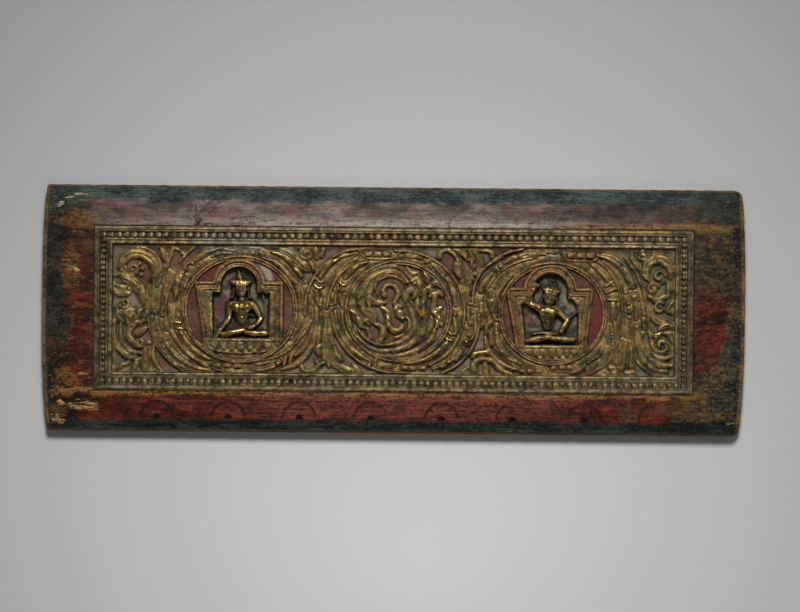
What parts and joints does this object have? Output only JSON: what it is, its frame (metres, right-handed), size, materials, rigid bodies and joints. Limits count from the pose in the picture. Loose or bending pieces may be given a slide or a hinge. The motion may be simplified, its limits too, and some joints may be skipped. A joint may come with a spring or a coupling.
{
  "type": "tibetan manuscript cover",
  "caption": "Long carved wooden book cover: sloping painted border, beaded mouldings and a sunk gilt panel of scrolls, roundels and seated figures in niches.",
  "frame": {"origin": "middle of the flat underside of the board, where it lies on what carries it", "axes": "+X along the length, to the right as the picture is read; +Y up the picture, across the width; +Z out of the carved face"},
  "size_m": [0.73, 0.256, 0.03],
  "materials": {
    "painted_gilt_wood": "old carved wood with worn dull gilding on the carving, mauve ground, red and dark teal painted border and bare brown rubbed edges"
  },
  "bodies": {
    "root": {"cover_board": "painted_gilt_wood"}
  },
  "joints": []
}
